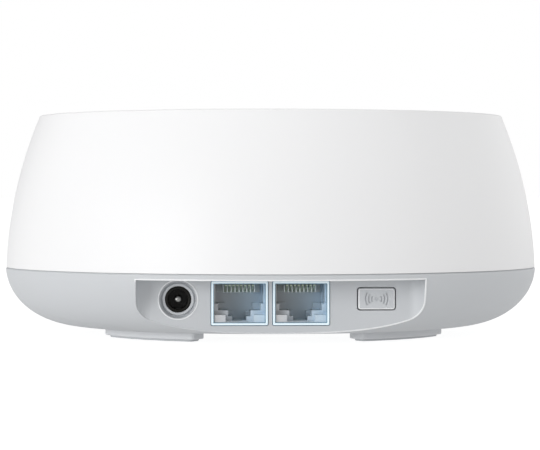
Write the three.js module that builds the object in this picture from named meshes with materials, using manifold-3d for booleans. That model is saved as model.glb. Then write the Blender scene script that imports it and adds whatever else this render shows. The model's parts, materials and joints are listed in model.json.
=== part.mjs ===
// A mesh Wi-Fi node: a round white cover over a grey bowl-shaped base. The power inlet, two Ethernet
// sockets and the pairing button sit on a flat panel in a recess at the back. The circuit board hangs
// over the sockets, with its heat sink and the antenna frame above it, under the cover.
//
// Millimetres. +Z is up, the port panel faces -Y, and the origin is the centre of the foot plane.

import * as THREE from 'three';
import { mergeVertices } from 'three/addons/utils/BufferGeometryUtils.js';
import Module from 'manifold-3d';

// ---- driving dimensions ----

const BODY_R = 75;                 // radius at the base's waist
const WAIST_Z = 19.2;              // the base's side would stand upright here, just above the seam
const SEAM_Z = 18.85;              // middle of the seam between cover and base
const SEAM_GAP = 0.3;
const ROUND = 60;                  // sides of the two round shells

const RIM_Z = 61.3;                // height of the cover's top edge
const CROWN = 0.8;                 // how far the middle of the top stands above its edge
const COVER_R = 74.85;             // radius of the cover at the waist
const COVER_WALL = 2.2;
const COVER_LEAN = 0.035;          // the cover's side leans in by LEAN * h + SWEEP * h * h
const COVER_SWEEP = 0.0045;
const RIM_RADIUS = 0.8;

const FLOOR_Z = 2.6;               // underside of the base, between its feet
const BOWL_CENTRE_R = 54.7;        // the base's side is a quarter ellipse about this radius
const BASE_WALL = 1.6;
const TONGUE_R = 72.3;             // the ring that locates the cover on the base
const TONGUE_WALL = 1.5;
const TONGUE_TOP = 21.6;

const PANEL_Y = -58.5;             // outer face of the port panel
const PANEL_WALL = 2;
const RECESS_HALF = 37.5;
const RECESS_ROOF_Z = 17.25;
const RECESS_COVE = 4;             // radius where the recess walls meet the panel

const PORT_XS = [-10.5, 5.55];
const PORT_Z = 10.85;
const PORT_W = 14.9;               // outside of each socket's face
const PORT_H = 11.6;
const PORT_RIM = 0.6;              // width of the coloured rim around the face
const PORT_DEPTH = 18;
const PLUG_W = 11.8;               // opening for a standard 8-way modular plug
const PLUG_TOP = 4.75;             // heights in the socket, from its middle
const PLUG_BOTTOM = -1.82;
const CATCH_W = 6.3;               // keyway for the plug's catch, in two steps
const CATCH_BOTTOM = -3.32;
const CATCH_TIP_W = 4.1;
const CATCH_TIP_BOTTOM = -4.15;
const PLUG_DEPTH = 14;

const INLET_X = -26.5;
const INLET_Z = 11.85;
const INLET_CONE_R = 4.95;
const INLET_HOLE_R = 3.55;
const INLET_NOSE_R = 3.35;
const INLET_BORE_R = 2.95;
const INLET_PIN_R = 1;

const BUTTON_X = 25.25;
const BUTTON_Z = 11.95;
const BUTTON_W = 9.45;
const BUTTON_H = 5.5;
const BUTTON_SLOT_W = 10.1;
const BUTTON_SLOT_H = 6.1;

const BOARD_Z = 18;                // underside of the circuit board
const BOARD_THICK = 1.6;
const BOARD_TOP = BOARD_Z + BOARD_THICK;
const BOARD_R = 66;
const BOARD_FRONT_Y = -56.2;

const FOOT_R = 48;                 // middle of the foot arcs
const FOOT_WIDTH = 7;
const FOOT_CENTRE = 45.5;          // degrees from the -Y and +Y axes
const FOOT_HALF_SPAN = 19.9;
const FOOT_BOSS_Z = 0.55;          // underside of the moulded foot
const PAD_INSET = 1;
const PAD_SET = 0.5;               // how deep the pad sits in the moulded foot

const CASE_SCREW_XY = FOOT_R * Math.SQRT1_2;
const STANDOFFS = [[-50, -22], [50, -22], [-36, 44], [36, 44]];
const VENT_COUNT = 20;
const VENT_IN = 30;
const VENT_OUT = 37;
const RESET_X = 44;
const LIGHT_Y = 50;

const FIT = 0.3;                   // clearance between pieces that only stand beside each other
const SNUG = 0.1;                  // clearance between pieces pressed together
const THROUGH = 5;                 // how far a cutting tool runs past what it cuts

// ---- materials ----

function finish(color, roughness, metalness) {
  return () => new THREE.MeshStandardMaterial({ color, roughness, metalness });
}

const whiteShell = finish(0xf3f3f4, 0.45, 0);
const greyShell = finish(0xc3c7ca, 0.5, 0);
const blackPlastic = finish(0x1b1c1e, 0.5, 0);
const socketPlastic = finish(0x8d979c, 0.45, 0);
const rimPlastic = finish(0xd6ecf7, 0.35, 0);
const padRubber = finish(0x9ba0a4, 0.85, 0);
const clearPlastic = finish(0xe8eef0, 0.15, 0);
const framePlastic = finish(0xd9d9d6, 0.55, 0);
const boardGreen = finish(0x1f5a3c, 0.5, 0);
const chipBlack = finish(0x222326, 0.4, 0);
const steel = finish(0xb9bcc0, 0.3, 1);
const tinPlate = finish(0xc8cacc, 0.35, 1);
const aluminium = finish(0xb4b7ba, 0.4, 1);
const goldPlate = finish(0xd2ad5b, 0.3, 1);
const cableJacket = finish(0x2a2b2d, 0.6, 0);
const labelPaper = finish(0xe6e7e8, 0.6, 0);
const padBlue = finish(0x8aa3c2, 0.8, 0);

// ---- solids: three.js shapes, joined and cut ----

const wasm = await Module();
wasm.setup();

function solidOf(geometry) {
  const bare = geometry.clone();
  bare.deleteAttribute('normal');
  bare.deleteAttribute('uv');
  const merged = mergeVertices(bare, 1e-4);
  const order = merged.index.array;
  const triangles = [];
  for (let i = 0; i < order.length; i += 3) {
    const [a, b, c] = [order[i], order[i + 1], order[i + 2]];
    if (a !== b && b !== c && c !== a) triangles.push(a, b, c);
  }
  const vertProperties = merged.attributes.position.array;
  const triVerts = new Uint32Array(triangles);
  return new wasm.Manifold(new wasm.Mesh({ numProp: 3, vertProperties, triVerts }));
}

function block(x0, x1, y0, y1, z0, z1) {
  const box = new THREE.BoxGeometry(x1 - x0, y1 - y0, z1 - z0);
  return solidOf(box.translate((x0 + x1) / 2, (y0 + y1) / 2, (z0 + z1) / 2));
}

// A round bar that stands on (x, y), from z0 to z1.
function upright(x, y, z0, z1, radius, sides = 12) {
  const bar = new THREE.CylinderGeometry(radius, radius, z1 - z0, sides);
  return solidOf(bar.rotateX(Math.PI / 2).translate(x, y, (z0 + z1) / 2));
}

// A round bar or a cone along Y about the local axis, from y0 (the outer end) to y1.
function inward(y0, y1, radius, sides = 12, innerRadius = radius) {
  const bar = new THREE.CylinderGeometry(innerRadius, radius, y1 - y0, sides);
  return solidOf(bar.translate(0, (y0 + y1) / 2, 0));
}

function roundedOutline(width, height, radius) {
  const [w, h] = [width / 2, height / 2];
  const outline = new THREE.Shape();
  outline.absarc(w - radius, h - radius, radius, 0, Math.PI / 2);
  outline.absarc(radius - w, h - radius, radius, Math.PI / 2, Math.PI);
  outline.absarc(radius - w, radius - h, radius, Math.PI, 1.5 * Math.PI);
  outline.absarc(w - radius, radius - h, radius, 1.5 * Math.PI, 2 * Math.PI);
  return outline;
}

function polygon(points) {
  return new THREE.Shape(points.map(([x, y]) => new THREE.Vector2(x, y)));
}

// An outline in plan, raised from z0 to z1.
function raised(outline, z0, z1, curveSegments = 3) {
  const prism = new THREE.ExtrudeGeometry(outline, { depth: z1 - z0, bevelEnabled: false, curveSegments });
  return solidOf(prism.translate(0, 0, z0));
}

// An outline seen from the back of the node (x across, z up), run inward from y0 to y1.
function sunk(outline, y0, y1, curveSegments = 2) {
  const prism = new THREE.ExtrudeGeometry(outline, { depth: y1 - y0, bevelEnabled: false, curveSegments });
  return solidOf(prism.rotateX(Math.PI / 2).translate(0, y1, 0));
}

// A profile of [radius, height] points, turned about Z. Its outer side runs upward.
function turned(profile, sides) {
  const points = profile.map(([r, z]) => new THREE.Vector2(r, z));
  return solidOf(new THREE.LatheGeometry(points, sides).rotateX(Math.PI / 2));
}

const group = new THREE.Group();

function place(name, solid, material, parent = group) {
  const { vertProperties, triVerts } = solid.getMesh();
  const geometry = new THREE.BufferGeometry();
  geometry.setAttribute('position', new THREE.BufferAttribute(new Float32Array(vertProperties), 3));
  geometry.setIndex(new THREE.BufferAttribute(new Uint32Array(triVerts), 1));
  geometry.computeVertexNormals();
  const mesh = new THREE.Mesh(geometry, material());
  mesh.name = name;
  parent.add(mesh);
  return mesh;
}

function groupAt(x, y, z) {
  const inner = new THREE.Group();
  inner.position.set(x, y, z);
  group.add(inner);
  return inner;
}

function corners(distance) {
  return [[-distance, -distance], [distance, -distance], [-distance, distance], [distance, distance]];
}

// ---- cover ----

function coverRadius(z) {
  const h = z - WAIST_Z;
  return COVER_R - COVER_LEAN * h - COVER_SWEEP * h * h;
}

function coverProfile() {
  const bottom = SEAM_Z + SEAM_GAP / 2;
  const sideTop = RIM_Z - RIM_RADIUS;
  const insideSteps = 3;
  const outsideSteps = 6;
  const rimR = coverRadius(RIM_Z) - RIM_RADIUS;
  const profile = [[0, RIM_Z + CROWN - COVER_WALL]];
  for (let i = insideSteps; i >= 0; i -= 1) {
    const z = bottom + (RIM_Z - COVER_WALL - bottom) * (i / insideSteps);
    profile.push([coverRadius(z) - COVER_WALL, z]);
  }
  for (let i = 0; i <= outsideSteps; i += 1) {
    const z = bottom + (sideTop - bottom) * (i / outsideSteps);
    profile.push([coverRadius(z), z]);
  }
  const rimTurn = Math.PI / 4;
  profile.push([rimR + RIM_RADIUS * Math.cos(rimTurn), sideTop + RIM_RADIUS * Math.sin(rimTurn)]);
  profile.push([rimR, RIM_Z]);
  profile.push([rimR * 0.6, RIM_Z + CROWN * 0.64]);
  profile.push([0, RIM_Z + CROWN]);
  return profile;
}

const COVER_BOSS_R = 3.5;
const COVER_BOSS_Z = 20.8;
const CASE_SCREW_HOLE_R = 1.7;
const CASE_SCREW_TOP = 31;
const LIGHT_PIPE_R = 1.5;

function makeCover() {
  let shell = turned(coverProfile(), ROUND);
  for (const [x, y] of corners(CASE_SCREW_XY)) {
    shell = shell.add(upright(x, y, COVER_BOSS_Z, RIM_Z - 1, COVER_BOSS_R));
    shell = shell.subtract(upright(x, y, COVER_BOSS_Z - THROUGH, CASE_SCREW_TOP + 2, CASE_SCREW_HOLE_R, 8));
  }
  shell = shell.subtract(upright(0, LIGHT_Y, RIM_Z - THROUGH, RIM_Z + THROUGH, LIGHT_PIPE_R + FIT));
  place('upper_shell', shell, whiteShell);
}

// ---- base ----

function bowlProfile(wall, top, steps) {
  const floor = FLOOR_Z + wall;
  const reach = BODY_R - BOWL_CENTRE_R - wall;
  const profile = [[0, floor]];
  for (let i = 0; i <= steps; i += 1) {
    const turn = (Math.PI / 2) * (i / steps);
    const z = WAIST_Z - (WAIST_Z - floor) * Math.cos(turn);
    profile.push([BOWL_CENTRE_R + reach * Math.sin(turn), Math.min(z, SEAM_Z - SEAM_GAP / 2)]);
  }
  if (top > SEAM_Z) profile.push([BODY_R - wall, top]);
  profile.push([0, top]);
  return profile;
}

// The plan of the recess: two straight walls that curve into the panel.
function recessOutline(grow) {
  const half = RECESS_HALF + grow;
  const cove = RECESS_COVE + grow;
  const back = PANEL_Y + grow;
  const outline = new THREE.Shape();
  outline.moveTo(-half, -BODY_R - THROUGH);
  outline.lineTo(half, -BODY_R - THROUGH);
  outline.absarc(half - cove, back - cove, cove, 0, Math.PI / 2);
  outline.absarc(cove - half, back - cove, cove, Math.PI / 2, Math.PI);
  return outline;
}

// A stretch of ring about the Z axis, square ended.
function arcOutline(radius, width, centreDegrees, halfSpanDegrees) {
  const start = THREE.MathUtils.degToRad(centreDegrees - halfSpanDegrees);
  const end = THREE.MathUtils.degToRad(centreDegrees + halfSpanDegrees);
  const outline = new THREE.Shape();
  outline.absarc(0, 0, radius + width / 2, start, end);
  outline.absarc(0, 0, radius - width / 2, end, start, true);
  return outline;
}

const FOOT_ANGLES = [-90 - FOOT_CENTRE, -90 + FOOT_CENTRE, 90 - FOOT_CENTRE, 90 + FOOT_CENTRE];
const FOOT_CURVE = 6;

function padOutline(angle, clearance) {
  const width = FOOT_WIDTH - 2 * PAD_INSET + 2 * clearance;
  const endInset = THREE.MathUtils.radToDeg((PAD_INSET - clearance) / FOOT_R);
  return arcOutline(FOOT_R, width, angle, FOOT_HALF_SPAN - endInset);
}

function ventSlot(angle) {
  const slot = new THREE.BoxGeometry(VENT_OUT - VENT_IN, 2, THROUGH);
  slot.translate((VENT_IN + VENT_OUT) / 2, 0, FLOOR_Z + 1).rotateZ(angle);
  return solidOf(slot);
}

const LABEL_W = 44;
const LABEL_H = 30;
const LABEL_SET = 0.4;
const SCREW_HEAD_R = 2.1;
const SCREW_SEAT_Z = 7;

function makeBase() {
  const roof = SEAM_Z - SEAM_GAP / 2;
  const cavity = turned(bowlProfile(BASE_WALL, TONGUE_TOP + THROUGH, 5), ROUND)
    .subtract(raised(recessOutline(PANEL_WALL), -THROUGH, roof));
  const tongue = turned([
    [TONGUE_R - TONGUE_WALL, roof - 2],
    [TONGUE_R, roof - 2],
    [TONGUE_R, TONGUE_TOP],
    [TONGUE_R - TONGUE_WALL, TONGUE_TOP],
    [TONGUE_R - TONGUE_WALL, roof - 2],
  ], ROUND);
  let shell = turned(bowlProfile(0, roof, 8), ROUND);
  shell = shell.subtract(cavity).add(tongue);
  shell = shell.subtract(raised(recessOutline(0), -THROUGH, RECESS_ROOF_Z));

  for (const [x, y] of STANDOFFS) {
    shell = shell.add(upright(x, y, FLOOR_Z + 1, BOARD_Z - 0.2, 3.2, 10));
    shell = shell.subtract(upright(x, y, BOARD_Z - 9, BOARD_Z + 1, 1.5, 8));
  }
  for (const [x, y] of corners(CASE_SCREW_XY)) {
    shell = shell.add(upright(x, y, FLOOR_Z + 0.8, COVER_BOSS_Z - FIT, 4.5));
  }
  for (const angle of FOOT_ANGLES) {
    const foot = arcOutline(FOOT_R, FOOT_WIDTH, angle, FOOT_HALF_SPAN);
    shell = shell.add(raised(foot, FOOT_BOSS_Z, FLOOR_Z + 1, FOOT_CURVE));
    const pocket = padOutline(angle, SNUG);
    shell = shell.subtract(raised(pocket, -THROUGH, FOOT_BOSS_Z + PAD_SET + SNUG, FOOT_CURVE));
  }
  for (const [x, y] of corners(CASE_SCREW_XY)) {
    shell = shell.subtract(upright(x, y, -THROUGH, SCREW_SEAT_Z, SCREW_HEAD_R + FIT));
    shell = shell.subtract(upright(x, y, SCREW_SEAT_Z - 1, BOARD_Z + THROUGH, CASE_SCREW_HOLE_R, 8));
  }

  for (let i = 0; i < VENT_COUNT; i += 1) {
    shell = shell.subtract(ventSlot((i + 0.5) * (2 * Math.PI / VENT_COUNT)));
  }
  const labelSeat = roundedOutline(LABEL_W + 0.4, LABEL_H + 0.4, 2);
  shell = shell.subtract(raised(labelSeat, -THROUGH, FLOOR_Z + LABEL_SET));
  shell = shell.subtract(upright(RESET_X, 0, 0, FLOOR_Z + THROUGH, 1));
  place('base_shell', cutPanel(shell), greyShell);
}

// The openings in the port panel.
function cutPanel(shell) {
  const front = PANEL_Y - THROUGH;
  const back = PANEL_Y + PANEL_WALL + 1;
  let panel = shell;
  for (const x of PORT_XS) {
    const opening = sunk(roundedOutline(PORT_W + 0.4, PORT_H + 0.4, 0.6), front, back);
    panel = panel.subtract(opening.translate([x, 0, PORT_Z]));
  }
  const slot = sunk(roundedOutline(BUTTON_SLOT_W, BUTTON_SLOT_H, 0.75), front, back);
  panel = panel.subtract(slot.translate([BUTTON_X, 0, BUTTON_Z]));
  const cone = inward(-0.001, 1.2, INLET_CONE_R, 24, INLET_HOLE_R);
  const hole = inward(1, PANEL_WALL + 1, INLET_HOLE_R, 24);
  return panel.subtract(cone.add(hole).translate([INLET_X, PANEL_Y, INLET_Z]));
}

function makeFeet() {
  FOOT_ANGLES.forEach((angle, i) => {
    const pad = raised(padOutline(angle, 0), 0, FOOT_BOSS_Z + PAD_SET, FOOT_CURVE);
    place(`foot_pad_${i + 1}`, pad, padRubber);
  });
}

function makeLabel() {
  const label = raised(roundedOutline(LABEL_W, LABEL_H, 1.8), FLOOR_Z + 0.05, FLOOR_Z + LABEL_SET - 0.05);
  place('rating_label', label, labelPaper);
}

// ---- screws ----

// A pan-head screw along +Z: the head hangs below the seat, with a cross recess in it.
function screwSolid(headR, headH, shankR, shankLength) {
  const cross = headR * 0.5;
  const head = turned([
    [0, -headH],
    [headR * 0.8, -headH],
    [headR, -headH * 0.6],
    [headR, 0],
    [shankR, 0],
    [shankR, shankLength - shankR],
    [0, shankLength],
  ], 12);
  const slotA = block(-cross, cross, -0.3, 0.3, -headH - 1, -headH * 0.5);
  const slotB = block(-0.3, 0.3, -cross, cross, -headH - 1, -headH * 0.5);
  return head.subtract(slotA).subtract(slotB);
}

function makeScrews() {
  const caseScrew = screwSolid(SCREW_HEAD_R, 2, 1.4, CASE_SCREW_TOP - SCREW_SEAT_Z);
  corners(CASE_SCREW_XY).forEach(([x, y], i) => {
    const screw = place(`case_screw_${i + 1}`, caseScrew, steel);
    screw.position.set(x, y, SCREW_SEAT_Z - SNUG);
  });
  const boardScrew = screwSolid(2.4, 1.7, 1.2, 8);
  STANDOFFS.forEach(([x, y], i) => {
    const screw = place(`board_screw_${i + 1}`, boardScrew, steel);
    screw.position.set(x, y, BOARD_TOP + SNUG);
    screw.rotation.x = Math.PI;
  });
}

// ---- Ethernet sockets, in the panel's own coordinates: y runs inward from the panel face ----

function plugOpening() {
  const [plug, catchHalf, tip] = [PLUG_W / 2, CATCH_W / 2, CATCH_TIP_W / 2];
  return polygon([
    [-plug, PLUG_TOP], [-plug, PLUG_BOTTOM],
    [-catchHalf, PLUG_BOTTOM], [-catchHalf, CATCH_BOTTOM],
    [-tip, CATCH_BOTTOM], [-tip, CATCH_TIP_BOTTOM],
    [tip, CATCH_TIP_BOTTOM], [tip, CATCH_BOTTOM],
    [catchHalf, CATCH_BOTTOM], [catchHalf, PLUG_BOTTOM],
    [plug, PLUG_BOTTOM], [plug, PLUG_TOP],
  ]);
}

const SHEET = 0.2;
const RIM_PROUD = 0.3;
const RIM_BACK = 1;

function socketRim() {
  const outside = sunk(roundedOutline(PORT_W, PORT_H, 0.5), -RIM_PROUD, RIM_BACK);
  const inside = roundedOutline(PORT_W - 2 * PORT_RIM, PORT_H - 2 * PORT_RIM, 0.3);
  return outside.subtract(sunk(inside, -THROUGH, THROUGH));
}

function socketHousing() {
  const noseInset = 2 * (PORT_RIM + 0.15);
  const nose = sunk(roundedOutline(PORT_W - noseInset, PORT_H - noseInset, 0.2), 0.3, RIM_BACK + 1);
  const body = sunk(roundedOutline(PORT_W, PORT_H, 0.3), RIM_BACK + 0.2, PORT_DEPTH);
  return nose.add(body).subtract(sunk(plugOpening(), -1, PLUG_DEPTH));
}

// The sheet-metal can around the housing, behind the panel and open at the front.
function socketShield() {
  const start = PANEL_WALL + FIT;
  const inner = 2 * SNUG;
  const outer = inner + 2 * SHEET;
  const can = sunk(roundedOutline(PORT_W + outer, PORT_H + outer, 0.4), start, PORT_DEPTH + SNUG + SHEET);
  return can.subtract(sunk(roundedOutline(PORT_W + inner, PORT_H + inner, 0.3), -1, PORT_DEPTH + SNUG));
}

const CONTACT_COUNT = 8;
const CONTACT_PITCH = 1.02;
const CONTACT_W = 0.36;
const CONTACT_LOW = 2.5;             // the wires stay above this, at rest

// Eight spring wires that slope up and forward from the carrier at the back of the opening. Each is
// drawn in the (y, z) plane, so its outline's axes are turned from (x, y, depth) to (y, z, x).
function socketContacts() {
  const carrierFront = PLUG_DEPTH - 2.6;
  const half = PLUG_W / 2 - 0.2;
  let contacts = block(-half, half, carrierFront, PLUG_DEPTH - 0.2, CONTACT_LOW, PLUG_TOP - 0.2);
  const wire = polygon([
    [carrierFront + 0.4, CONTACT_LOW], [carrierFront + 0.4, CONTACT_LOW + 0.5],
    [2.6, PLUG_TOP - 0.3], [2.2, PLUG_TOP - 0.3], [2.2, PLUG_TOP - 0.7],
  ]);
  for (let i = 0; i < CONTACT_COUNT; i += 1) {
    const x = (i - (CONTACT_COUNT - 1) / 2) * CONTACT_PITCH;
    const strip = new THREE.ExtrudeGeometry(wire, { depth: CONTACT_W, bevelEnabled: false });
    strip.rotateY(Math.PI / 2).rotateX(Math.PI / 2).translate(x - CONTACT_W / 2, 0, 0);
    contacts = contacts.add(solidOf(strip));
  }
  return contacts;
}

function makeSockets() {
  PORT_XS.forEach((x, i) => {
    const socket = groupAt(x, PANEL_Y, PORT_Z);
    place(`rj45_face_rim_${i + 1}`, socketRim(), rimPlastic, socket);
    place(`rj45_housing_${i + 1}`, socketHousing(), socketPlastic, socket);
    place(`rj45_shield_${i + 1}`, socketShield(), tinPlate, socket);
    place(`rj45_contacts_${i + 1}`, socketContacts(), goldPlate, socket);
  });
}

// ---- power inlet ----

function makeInlet() {
  const inlet = groupAt(INLET_X, PANEL_Y, INLET_Z);
  const boreEnd = 11.5;
  const bodyEnd = 14.5;
  const nose = inward(1.1, PANEL_WALL + 1, INLET_NOSE_R, 20);
  const body = block(-4.5, 4.5, PANEL_WALL + FIT, bodyEnd, -4.6, BOARD_Z - FIT - INLET_Z);
  const jack = nose.add(body)
    .subtract(inward(0, boreEnd, INLET_BORE_R, 20))
    .subtract(inward(boreEnd - 1, bodyEnd + 1, INLET_PIN_R + 0.2));
  place('dc_jack_body', jack, blackPlastic, inlet);
  const tip = inward(1.6, 2, INLET_PIN_R * 0.6, 12, INLET_PIN_R);
  place('dc_jack_pin', tip.add(inward(2, bodyEnd + 0.4, INLET_PIN_R)), steel, inlet);
  place('dc_jack_spring', block(-1, 1, 4, boreEnd - 0.2, -2.75, -2.45), tinPlate, inlet);
}

// ---- pairing button and its switch ----

const BUTTON_PROUD = 0.5;
const FLANGE_FRONT = PANEL_WALL + FIT;
const STEM_END = 6;
const PLUNGER_GAP = 0.6;
const PLUNGER_R = 1.7;

function makeButton() {
  const button = groupAt(BUTTON_X, PANEL_Y, BUTTON_Z);
  const cap = sunk(roundedOutline(BUTTON_W, BUTTON_H, 0.6), -BUTTON_PROUD, FLANGE_FRONT + 0.3);
  const flange = sunk(roundedOutline(11.6, 7.5, 0.8), FLANGE_FRONT, FLANGE_FRONT + 0.9);
  const stem = inward(FLANGE_FRONT + 0.5, STEM_END, 1.5);
  place('pairing_button', cap.add(flange).add(stem), greyShell, button);

  const plungerFront = STEM_END + PLUNGER_GAP;
  const face = plungerFront + 0.8;
  const toBoard = BOARD_Z - FIT - BUTTON_Z;
  const body = block(-3.2, 3.2, face, face + 4.2, -3.2, 3.2);
  const bracket = block(-3.2, 3.2, face + 2.2, face + 4.2, 3, toBoard);
  const bore = inward(face - 1, face + 1.8, PLUNGER_R + 0.2);
  place('pairing_switch_body', body.add(bracket).subtract(bore), tinPlate, button);
  place('pairing_plunger', inward(plungerFront, face + 1.3, PLUNGER_R), blackPlastic, button);
}

// ---- reset switch, worked with a pin through the hole in the floor ----

function makeReset() {
  const reset = groupAt(RESET_X, 0, BOARD_Z - FIT);
  const body = block(-3.2, 3.2, -3.2, 3.2, -3.6, 0);
  place('reset_switch_body', body.subtract(upright(0, 0, -5, -0.8, PLUNGER_R + 0.2)), tinPlate, reset);
  place('reset_plunger', upright(0, 0, -10.7, -1.3, PLUNGER_R), blackPlastic, reset);
}

// ---- circuit board and what is soldered to it ----

const HEAT_SINK_PINS = [[-19, -16], [19, 30]];
const PIN_HOLE_R = 1.8;

function makeBoard() {
  let board = upright(0, 0, BOARD_Z, BOARD_TOP, BOARD_R, 48);
  board = board.subtract(block(-BODY_R, BODY_R, -BODY_R, BOARD_FRONT_Y, BOARD_Z - 1, BOARD_TOP + 1));
  const holes = [
    ...corners(CASE_SCREW_XY).map((spot) => [...spot, 5]),
    ...STANDOFFS.map((spot) => [...spot, 1.6]),
    ...HEAT_SINK_PINS.map((spot) => [...spot, PIN_HOLE_R]),
  ];
  for (const [x, y, radius] of holes) {
    board = board.subtract(upright(x, y, BOARD_Z - 1, BOARD_TOP + 1, radius));
  }
  place('main_board', board, boardGreen);
}

// A package of w by d by h on the top of the board, with its pin-one corner cut off.
function chip(name, x, y, w, d, h) {
  const [a, b] = [w / 2, d / 2];
  const outline = polygon([[1 - a, -b], [a, -b], [a, b], [-a, b], [-a, 1 - b]]);
  place(name, raised(outline, 0, h), chipBlack, groupAt(x, y, BOARD_TOP + SNUG));
}

const PROCESSOR_H = 1.5;
const CAN_W = 22;
const CAN_D = 28;
const CAN_H = 3.2;

function makeChips() {
  chip('processor_chip', 0, 4, 19, 19, PROCESSOR_H);
  chip('memory_chip', 17, 12, 9, 12, 1.1);
  chip('flash_chip', -17, 14, 6, 8, 1);
  chip('ethernet_switch_chip', -2.5, -34, 12, 12, 1.2);
  [-39, 39].forEach((x, i) => {
    chip(`radio_chip_${i + 1}`, x, 2, 10, 10, 0.9);
    const can = raised(roundedOutline(CAN_W, CAN_D, 1), 0, CAN_H)
      .subtract(raised(roundedOutline(CAN_W - 0.6, CAN_D - 0.6, 0.8), -1, CAN_H - 0.3));
    place(`radio_shield_can_${i + 1}`, can, tinPlate, groupAt(x, 2, BOARD_TOP + SNUG));
  });
  place('status_led', block(-1.6, 1.6, -0.8, 0.8, 0, 1), labelPaper, groupAt(0, LIGHT_Y, BOARD_TOP + SNUG));
}

// Parts that hang from the underside of the board, between the sockets and the floor.
function makeHangingParts() {
  const under = BOARD_Z - FIT;
  PORT_XS.forEach((x, i) => {
    const transformer = block(-6, 6, -4.2, 4.2, -5.6, 0).subtract(block(-1, 1, -5, -3.8, -7, 1));
    place(`lan_transformer_${i + 1}`, transformer, chipBlack, groupAt(x, -33, under));
  });
  const inductor = raised(roundedOutline(8, 8, 1.5), -4.2, 0);
  place('power_inductor', inductor, chipBlack, groupAt(-47, -33, under));
  const can = turned([
    [0, -10], [3.4, -10], [4, -9.4], [4, -1.4], [3.7, -1.1], [4, -0.8], [4, 0], [0, 0],
  ], 14);
  place('bulk_capacitor', can, aluminium, groupAt(-40, -43, under));
}

// ---- cooling ----

const SINK_HALF_X = 24;
const SINK_Y = [-22, 36];
const SINK_PLATE = 2;
const SINK_TOP = 10.4;
const FIN_COUNT = 13;
const FIN_THICK = 1.2;

function makeCooling() {
  const padZ = BOARD_TOP + SNUG + PROCESSOR_H + SNUG;
  place('thermal_pad', block(-9, 9, -9, 9, 0, 1), padBlue, groupAt(0, 4, padZ));

  const pitch = (2 * SINK_HALF_X - FIN_THICK) / (FIN_COUNT - 1);
  const comb = [[-SINK_HALF_X, 0], [SINK_HALF_X, 0]];
  for (let i = FIN_COUNT - 1; i >= 0; i -= 1) {
    const left = -SINK_HALF_X + i * pitch;
    comb.push([left + FIN_THICK, SINK_TOP], [left, SINK_TOP]);
    if (i > 0) comb.push([left, SINK_PLATE], [left - pitch + FIN_THICK, SINK_PLATE]);
  }
  let sink = sunk(polygon(comb), SINK_Y[0], SINK_Y[1]);
  for (const [x, y] of HEAT_SINK_PINS) {
    sink = sink.subtract(upright(x, y, SINK_PLATE, SINK_TOP + 1, 4.2));
    sink = sink.subtract(upright(x, y, -1, SINK_TOP, PIN_HOLE_R, 8));
  }
  const sinkZ = padZ + 1 + SNUG;
  place('heat_sink', sink, aluminium, groupAt(0, 0, sinkZ));

  const seat = sinkZ + SINK_PLATE + SNUG;
  const barb = BOARD_Z - 0.2 - seat;
  const pin = turned([
    [0, barb - 2], [0.8, barb - 2], [2.2, barb - 0.4], [2.2, barb], [1.4, barb],
    [1.4, 0], [3, 0], [3, 1.2], [2.4, 1.8], [0, 1.8],
  ], 10);
  HEAT_SINK_PINS.forEach(([x, y], i) => {
    place(`heat_sink_pin_${i + 1}`, pin, framePlastic, groupAt(x, y, seat));
  });
}

// ---- antennas ----

const CARRIER_R = 58.1;
const CARRIER_WALL = 2.6;
const CARRIER_Z = 44;
const CARRIER_H = 3;
const LEG_ANGLES = [0, 90, 180, -60, -120];
const ANTENNA_ANGLES = [45, 135, 225, 315];
const ANTENNA_R = 60.2;
const ANTENNA_Z = 32;
const ANTENNA_W = 34;
const ANTENNA_H = 24;
const COAX_R = 0.65;

function makeCarrier() {
  const [rIn, rOut] = [CARRIER_R - CARRIER_WALL / 2, CARRIER_R + CARRIER_WALL / 2];
  const [low, high] = [CARRIER_Z, CARRIER_Z + CARRIER_H];
  let carrier = turned([[rIn, low], [rOut, low], [rOut, high], [rIn, high], [rIn, low]], 36);
  for (const angle of LEG_ANGLES) {
    const leg = new THREE.BoxGeometry(CARRIER_WALL - 0.4, 4, CARRIER_Z + 1 - BOARD_TOP - FIT);
    leg.translate(CARRIER_R, 0, (CARRIER_Z + 1 + BOARD_TOP + FIT) / 2);
    carrier = carrier.add(solidOf(leg.rotateZ(THREE.MathUtils.degToRad(angle))));
  }
  place('antenna_carrier', carrier, framePlastic);
}

function antennaSolid() {
  const [w, h] = [ANTENNA_W / 2, ANTENNA_H];
  const slot = 1.5;
  const outline = polygon([
    [-w, 0], [w, 0], [w, h - 5], [w - 4, h], [slot, h], [slot, 9],
    [-slot, 9], [-slot, h], [4 - w, h], [-w, h - 5],
  ]);
  return sunk(outline, -0.4, 0.4);
}

// The thin lead climbs from the board, on the side nearer the X axis, to the foot of its antenna.
function coaxSolid(antennaAngle) {
  const side = antennaAngle % 180 === 45 ? -1 : 1;
  const route = [[50, 15, 20.6], [52, 12, 22.6], [55.5, 7, 26.5], [58.2, 2, 31], [58.8, 0, 35]];
  const points = route.map(([radius, degrees, z]) => {
    const turn = THREE.MathUtils.degToRad(antennaAngle + side * degrees);
    return new THREE.Vector3(radius * Math.cos(turn), radius * Math.sin(turn), z);
  });
  const section = new THREE.Shape().absarc(0, 0, COAX_R, 0, 2 * Math.PI);
  const extrudePath = new THREE.CatmullRomCurve3(points);
  return solidOf(new THREE.ExtrudeGeometry(section, { steps: 10, curveSegments: 4, extrudePath }));
}

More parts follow.
